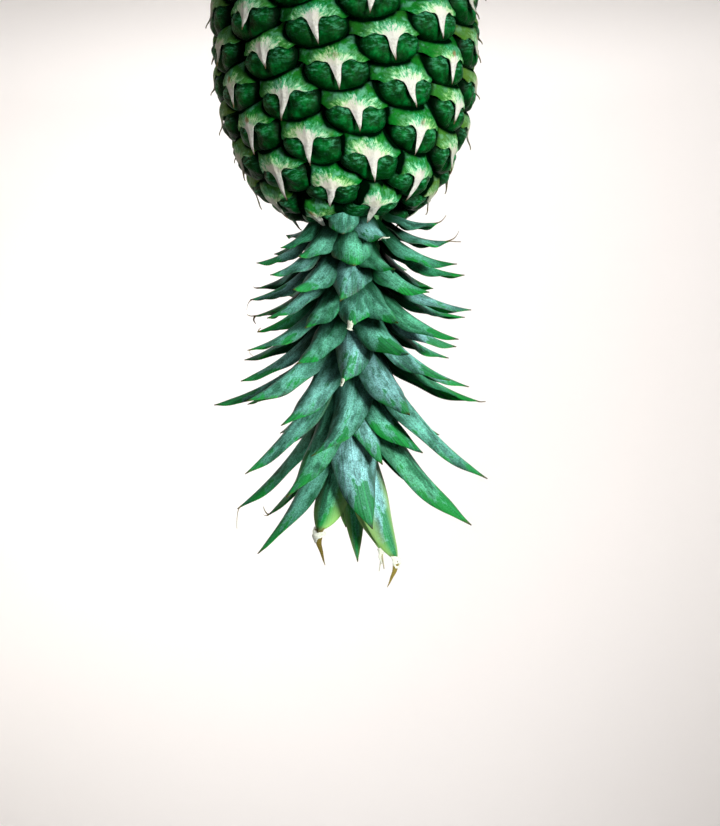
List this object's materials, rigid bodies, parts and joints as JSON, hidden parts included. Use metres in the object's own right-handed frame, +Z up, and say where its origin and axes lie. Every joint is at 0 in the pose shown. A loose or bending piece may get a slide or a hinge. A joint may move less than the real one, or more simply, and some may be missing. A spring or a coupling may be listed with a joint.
{
  "type": "whole pineapple",
  "caption": "Whole unpeeled pineapple: a barrel of spiralling pointed eyes on a flat cut base, topped by a spreading crown of stiff arching leaves.",
  "frame": {"origin": "centre of the flat cut base that the fruit stands on", "axes": "+Z up the fruit's axis, from the cut base to the heart of the crown"},
  "size_m": [0.1238, 0.122, 0.3317],
  "materials": {
    "rind": null,
    "leaf": null
  },
  "bodies": {
    "root": {"fruit": "rind", "crown": "leaf"}
  },
  "joints": []
}
